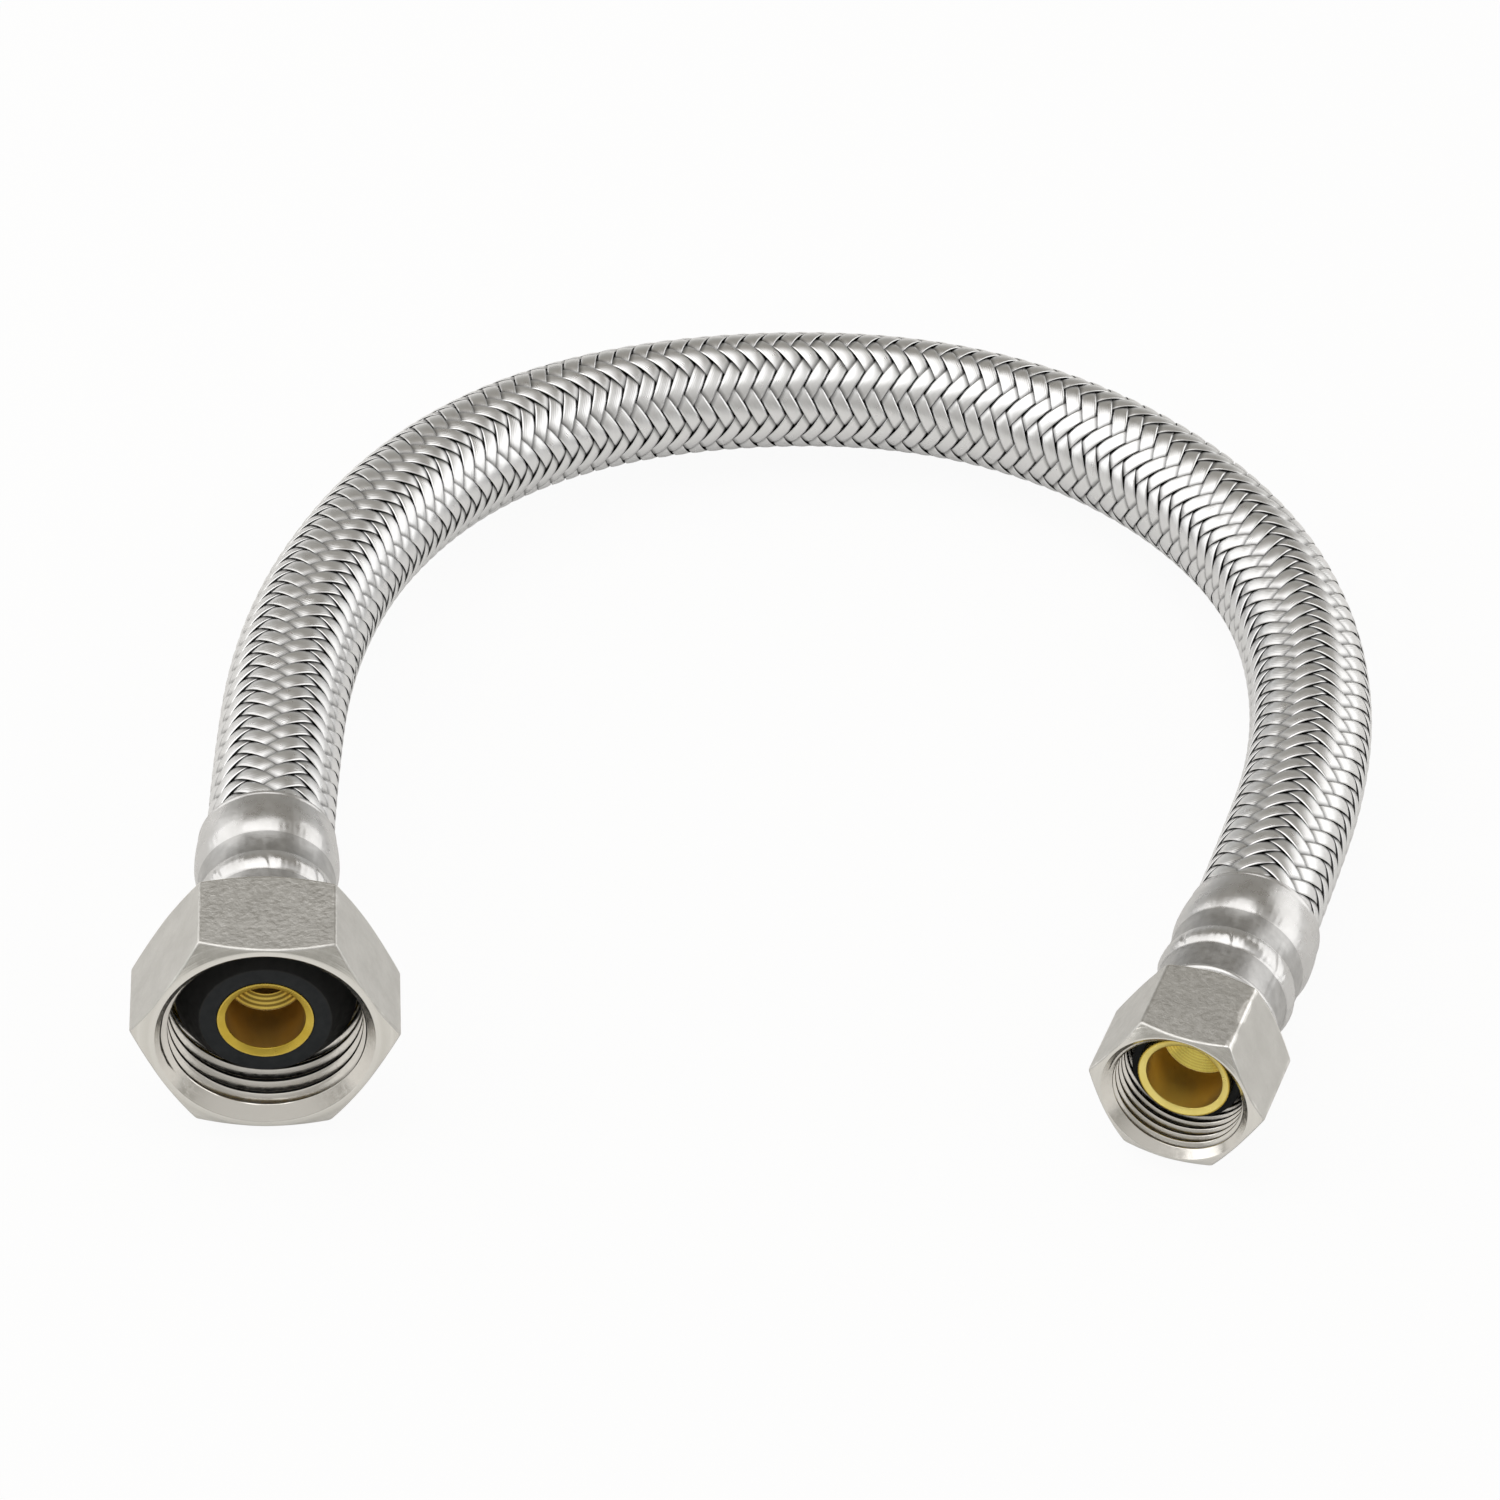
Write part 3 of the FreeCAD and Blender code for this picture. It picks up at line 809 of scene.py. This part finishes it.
def insertOutline(end):
    at = inserts[end]
    face, outside, bore, point = 0, 1, 2, 3
    fine = turning["fineEdge"]
    deep = at["nose"] + turning["boreDepth"]
    step = turning["bore"] - at["pilot"]
    pilot = deep + step / math.tan(math.radians(turning["drillPoint"] / 2))
    corners = [
        (turning["bore"], at["nose"] + at["dish"], turning["faceEdge"], face),
        (turning["nose"], at["nose"], turning["noseEdge"], outside),
        (turning["nose"], at["headFront"], 0, outside),
        (at["head"], at["headFront"], turning["headEdge"], outside),
        (at["head"], at["headBack"], turning["headEdge"], outside),
        (turning["shank"], at["headBack"], fine, outside),
        (turning["shank"], at["groove"], 0, outside),
        (turning["grooveRadius"], at["groove"], 0, outside),
        (turning["grooveRadius"], at["groove"] + turning["grooveWidth"], 0, outside),
        (turning["shank"], at["groove"] + turning["grooveWidth"], 0, outside),
        (turning["shank"], at["hose"], fine, outside),
        (turning["root"], at["hose"], 0, outside),
    ]
    for barb in range(turning["barbs"]):
        along = at["hose"] + turning["tailLead"] + turning["barbPitch"] * barb
        corners += [(turning["root"], along, 0, outside), (turning["barb"], along, fine, outside)]
    tailEnd = at["hose"] + turning["tailLead"] + turning["barbPitch"] * turning["barbs"]
    corners += [
        (turning["root"], tailEnd, fine, outside),
        (turning["tailBore"], tailEnd, fine, bore),
        (turning["tailBore"], pilot + turning["pilotDepth"], fine, bore),
        (at["pilot"], pilot + turning["pilotDepth"], fine, bore),
        (at["pilot"], pilot, turning["pilotEdge"], point),
        (turning["bore"], deep, turning["boreEdge"], bore),
    ]
    return corners


def buildInserts():
    turned = brassFinish("brassTurned", dark=(0.62, 0.45, 0.08), pale=(0.70, 0.52, 0.11),
                         rough=(0.22, 0.34))
    for end in inserts:
        colours = brass[end]
        finishes = [
            brassFinish(f"{end}BrassFace", *colours["face"], rough=(0.26, 0.36)),
            turned,
            brassFinish(f"{end}BrassBore", *colours["bore"], rough=(0.4, 0.46)),
            drillPoint(f"{end}DrillPoint", *colours["point"], apart=inserts[end]["ring"]),
        ]
        turnedPiece(f"{end}_insert_turned", insertOutline(end), turning["columns"], finishes,
                    f"{end}_insert", places[end])


buildInserts()
print("inserts made")


# cone washers

washers = {
    "large": {"front": 2.95, "land": 6.5, "rim": 8.9, "rimStart": 6.37, "back": 7.57},
    "small": {"front": 4.4, "land": 5.6, "rim": 6.2, "rimStart": 7.07, "back": 7.87},
}
washerShape = {
    "hole": 4.7925,
    # how far the corners' roundings reach
    "holeEdge": 0.06, "landEdge": 0.12, "rimEdge": 0.2, "backEdge": 0.1, "innerEdge": 0.05,
    "columns": 128,
}


def buildWashers():
    face, cone = 0, 1
    finishes = [
        rubberFinish("washerFace", dark=(0.013, 0.0155, 0.018), pale=(0.019, 0.022, 0.025),
                     rough=(0.47, 0.63)),
        rubberFinish("washerCone", dark=(0.018, 0.0185, 0.019), pale=(0.024, 0.0245, 0.025),
                     rough=(0.42, 0.58)),
    ]
    hole = washerShape["hole"]
    for end, sizes in washers.items():
        corners = [
            (hole, sizes["front"], washerShape["holeEdge"], face),
            (sizes["land"], sizes["front"], washerShape["landEdge"], cone),
            (sizes["rim"], sizes["rimStart"], washerShape["rimEdge"], cone),
            (sizes["rim"], sizes["back"], washerShape["backEdge"], cone),
            (hole, sizes["back"], washerShape["innerEdge"], cone),
        ]
        turnedPiece(f"{end}_washer_moulded", corners, washerShape["columns"], finishes,
                    f"{end}_washer", places[end])


buildWashers()
print("washers made")


# crimped ferrules, with the marks that the crimping jaws leave

ferrules = {"large": 13.2, "small": 12.1}  # where each starts, from the mouth
sleeve = {
    "wall": 0.45, "lip": 4.65, "collarEnd": 1.3, "rearEnd": 4.8, "ridgeEnd": 7.4,
    "frontEnd": 10.4, "rim": 16.6, "rear": 6.75, "front": 6.93, "rimRadius": 6.97,
    "collar": 7.05, "ridge": 7.18, "bulge": 7.3, "bead": 0.04, "beadLength": 0.5,
    "crest": 0.37,  # share of the bulge's length at which it is thickest
    "columns": 288,
}
jaws = {
    "count": 8,
    "lean": 0.05,  # radians a millimetre
    "pinch": 0.13,  # the sharp lines between the jaws, on the ridge
    "pinchWidth": 0.035,  # radians
    "pinchReach": 1.15,  # share of the ridge's half length
    "flat": 0.02,  # the broad waves that the jaws leave on the bands
    "flatStart": 0.6,  # over how much they set in and fade out
    "flatEnd": 1.5,
    "wrinkle": 0.022,
    "wrinklesRound": 43,
    "patchesRound": 19,  # the wrinkles come and go so many times round
    "wrinkleLean": 9,
    "foot": 0.7,  # the bulge's foot is wrinkled too, so far from the bands
    "footWidth": 0.6,
    "footShare": 0.6,
}


def archRows(first, crown, last, zone, steps=10, crest=0.5):
    # a round hump from one point to another, with its crown at a share of the way
    rows = []
    for step in range(1, steps):
        share = step / steps
        end, away = (first, 1 - share / crest) if share < crest else (last, (share - crest) / (1 - crest))
        rows.append((crown - (crown - end[0]) * away * away,
                     first[1] + (last[1] - first[1]) * share, 0, zone))
    return rows


def sleeveOutline(start):
    bright, crimped = 0, 1
    wall = sleeve["wall"]
    rear, front, rim = sleeve["rear"], sleeve["front"], sleeve["rim"]
    collarEnd = (rear, sleeve["collarEnd"])
    rows = [(sleeve["lip"], 0.0, 0, bright), (rear - wall, 0.0, 0, bright)]
    rows += archRows((rear - wall, 0.0), sleeve["collar"], collarEnd, bright)
    rows.append((*collarEnd, 0, crimped))
    rows.append((rear, sleeve["rearEnd"], 0, bright))
    rows += archRows((rear, sleeve["rearEnd"]), sleeve["ridge"], (front, sleeve["ridgeEnd"]), bright)
    rows.append((front, sleeve["ridgeEnd"], 0, crimped))
    rows.append((front, sleeve["frontEnd"], 0, bright))
    beadStart = rim - sleeve["beadLength"]
    rows += archRows((front, sleeve["frontEnd"]), sleeve["bulge"],
                     (sleeve["rimRadius"], beadStart), bright, steps=24, crest=sleeve["crest"])
    rows.append((sleeve["rimRadius"], beadStart, 0, bright))
    rows += archRows((sleeve["rimRadius"], beadStart), sleeve["rimRadius"] + sleeve["bead"],
                     (sleeve["rimRadius"], rim), bright, steps=6)
    outside = len(rows)
    rows.append((sleeve["rimRadius"], rim, 0, bright))
    rows.append((sleeve["rimRadius"] - wall, rim, 0, crimped))
    rows += archRows((sleeve["rimRadius"] - wall, rim), sleeve["bulge"] - wall,
                     (front - wall, sleeve["frontEnd"]), crimped, crest=1 - sleeve["crest"])
    rows.append((front - wall, sleeve["frontEnd"], 0, crimped))
    rows.append((front - wall, sleeve["ridgeEnd"], 0, crimped))
    rows += archRows((front - wall, sleeve["ridgeEnd"]), sleeve["ridge"] - wall,
                     (rear - wall, sleeve["rearEnd"]), crimped, steps=6)
    rows.append((rear - wall, sleeve["rearEnd"], 0, crimped))
    rows.append((rear - wall, wall, 0, crimped))
    rows.append((sleeve["lip"], wall, 0, crimped))
    return [(radius, start + along, cut, zone) for radius, along, cut, zone in rows], outside


def jawMarks(rows, outside, angles, start):
    along = rows[:outside, :, 1] - start
    middle = (sleeve["rearEnd"] + sleeve["ridgeEnd"]) / 2
    half = (sleeve["ridgeEnd"] - sleeve["rearEnd"]) / 2
    bandsStart, bandsEnd = sleeve["collarEnd"], sleeve["frontEnd"]
    onRidge = np.clip(1 - ((along - middle) / (half * jaws["pinchReach"])) ** 2, 0, 1)
    onBands = smoothStep(along, bandsStart, bandsStart + jaws["flatStart"]) * (
        1 - smoothStep(along, bandsEnd, bandsEnd + jaws["flatEnd"]))
    onFoot = np.exp(-((along - bandsEnd - jaws["foot"]) / jaws["footWidth"]) ** 2)
    jaw = 2 * math.pi / jaws["count"]
    lean = jaws["lean"] * (along - middle)
    away = (angles + lean + jaw / 2) % jaw - jaw / 2
    pinch = jaws["pinch"] * np.exp(-(away / jaws["pinchWidth"]) ** 2) * onRidge
    flat = jaws["flat"] * onBands * (1 + np.cos(away * jaws["count"])) / 2
    wrinkle = np.sin(jaws["wrinklesRound"] * angles + lean * jaws["wrinkleLean"])
    wrinkle = wrinkle * np.sin(jaws["patchesRound"] * angles + 1) * (onRidge + jaws["footShare"] * onFoot)
    rows[:outside, :, 0] -= pinch + flat + jaws["wrinkle"] * wrinkle


def buildFerrules():
    finishes = [brightSleeve(), crimpedSleeve()]
    for end, start in ferrules.items():
        outline, outside = sleeveOutline(start)
        turnedPiece(f"{end}_ferrule_crimped", outline, sleeve["columns"], finishes,
                    f"{end}_ferrule", places[end],
                    press=lambda rows, angles: jawMarks(rows, outside, angles, start))


buildFerrules()
print("ferrules made")


# floor, world and lamps

studio = {
    "floorSize": 4.0,
    "cornerRoom": 0.0019,  # the floor lies this much lower, to clear the corner of a turned nut
    "floorColour": (0.76, 0.75, 0.73),
    "floorRough": 0.9,
    "floorSeen": 0.94,  # how much of the floor shows as plain white
    "floorMirrored": 0.15,  # and how much of it metal shows as plain white
    "backdropMirrored": 0.3,
    "backdropTop": (0.0, 0.1),  # where the white backdrop fades out over the floor
    "lowWall": (0.38, 0.37, 0.345),
    "backWall": (0.27, 0.252, 0.22),
    "frontWall": (0.60, 0.585, 0.56),
    "wallHeights": (0.08, 0.6),  # where the low wall turns into the high ones
    "backFade": (-0.3, 0.5),  # where the front wall turns into the back one
    "lampColour": (1.0, 0.99, 0.98),
}


def whiteShare(tree, seen, mirrored):
    # how much plain white a ray meets: straight from the camera, or mirrored by a metal
    path = tree.nodes.new("ShaderNodeLightPath").outputs
    straight = mathNode(tree, "MAXIMUM", path["Is Camera Ray"], path["Is Transmission Ray"])
    return mathNode(tree, "MAXIMUM", mathNode(tree, "MULTIPLY", straight, seen),
                    mathNode(tree, "MULTIPLY", path["Is Glossy Ray"], mirrored))


def mixShaders(tree, share, first, second, output):
    mix = tree.nodes.new("ShaderNodeMixShader")
    tree.links.new(share, mix.inputs["Fac"])
    tree.links.new(first.outputs[0], mix.inputs[1])
    tree.links.new(second.outputs[0], mix.inputs[2])
    tree.links.new(mix.outputs[0], tree.nodes[output].inputs["Surface"])


def buildFloor():
    half = studio["floorSize"] / 2
    height = cadBox[0][2] - studio["cornerRoom"]
    mesh = bpy.data.meshes.new("floor")
    mesh.from_pydata([(-half, -half, height), (half, -half, height), (half, half, height),
                      (-half, half, height)], [], [(0, 1, 2, 3)])
    floor = bpy.data.objects.new("floor", mesh)
    scene.collection.objects.link(floor)
    material = bpy.data.materials.new("paleFloor")
    material.use_nodes = True
    tree = material.node_tree
    shader = tree.nodes["Principled BSDF"]
    shader.inputs["Base Color"].default_value = (*studio["floorColour"], 1)
    shader.inputs["Roughness"].default_value = studio["floorRough"]
    shader.inputs["Specular IOR Level"].default_value = 0.0
    white = tree.nodes.new("ShaderNodeEmission")
    share = whiteShare(tree, studio["floorSeen"], studio["floorMirrored"])
    mixShaders(tree, share, shader, white, "Material Output")
    mesh.materials.append(material)


def blendColours(tree, share, first, second):
    node = tree.nodes.new("ShaderNodeMix")
    node.data_type = "RGBA"
    tree.links.new(share, node.inputs["Factor"])
    for socket, colour in (("A", first), ("B", second)):
        if isinstance(colour, tuple):
            node.inputs[socket].default_value = (*colour, 1)
        else:
            tree.links.new(colour, node.inputs[socket])
    return node.outputs["Result"]


def buildWorld():
    # plain walls that darken towards the back, and a white backdrop low down
    world = bpy.data.worlds.new("studio")
    scene.world = world
    world.use_nodes = True
    tree = world.node_tree
    way = tree.nodes.new("ShaderNodeTexCoord")
    split = tree.nodes.new("ShaderNodeSeparateXYZ")
    tree.links.new(way.outputs["Generated"], split.inputs[0])
    back, up = split.outputs["Y"], split.outputs["Z"]
    toBack = rangeNode(tree, back, *studio["backFade"], kind="SMOOTHSTEP")
    upward = rangeNode(tree, up, *studio["wallHeights"], kind="SMOOTHSTEP")
    aboveDrop = rangeNode(tree, up, *studio["backdropTop"], kind="SMOOTHSTEP")
    high = blendColours(tree, toBack, studio["frontWall"], studio["backWall"])
    walls = tree.nodes["Background"]
    tree.links.new(blendColours(tree, upward, studio["lowWall"], high), walls.inputs["Color"])
    white = tree.nodes.new("ShaderNodeBackground")
    white.inputs["Color"].default_value = (1, 1, 1, 1)
    low = mathNode(tree, "SUBTRACT", 1.0, aboveDrop)
    mirrored = mathNode(tree, "MULTIPLY", low, studio["backdropMirrored"])
    mixShaders(tree, whiteShare(tree, 1.0, mirrored), walls, white, "World Output")


lamps = {
    "overhead": {"spot": (-0.16, 0.11, 0.75), "lean": 0.0, "size": (0.86, 1.02), "watts": 3.2},
    "leftPanel": {"spot": (-0.80, 0.40, 0.42), "lean": -64.0, "size": (0.76, 1.6), "watts": 3.9},
    "rightPanel": {"spot": (0.95, 0.40, 0.40), "lean": 64.0, "size": (0.72, 1.6), "watts": 3.7},
}


def buildLamps():
    for name, facts in lamps.items():
        data = bpy.data.lights.new(name, "AREA")
        data.shape = "RECTANGLE"
        data.size, data.size_y = facts["size"]
        data.energy = facts["watts"]
        data.color = studio["lampColour"]
        lamp = bpy.data.objects.new(name, data)
        scene.collection.objects.link(lamp)
        lamp.matrix_world = (Matrix.Translation(facts["spot"])
                             @ Matrix.Rotation(math.radians(facts["lean"]), 4, "Y"))


buildFloor()
buildWorld()
buildLamps()
scene.view_settings.view_transform = "Standard"
print("studio made")
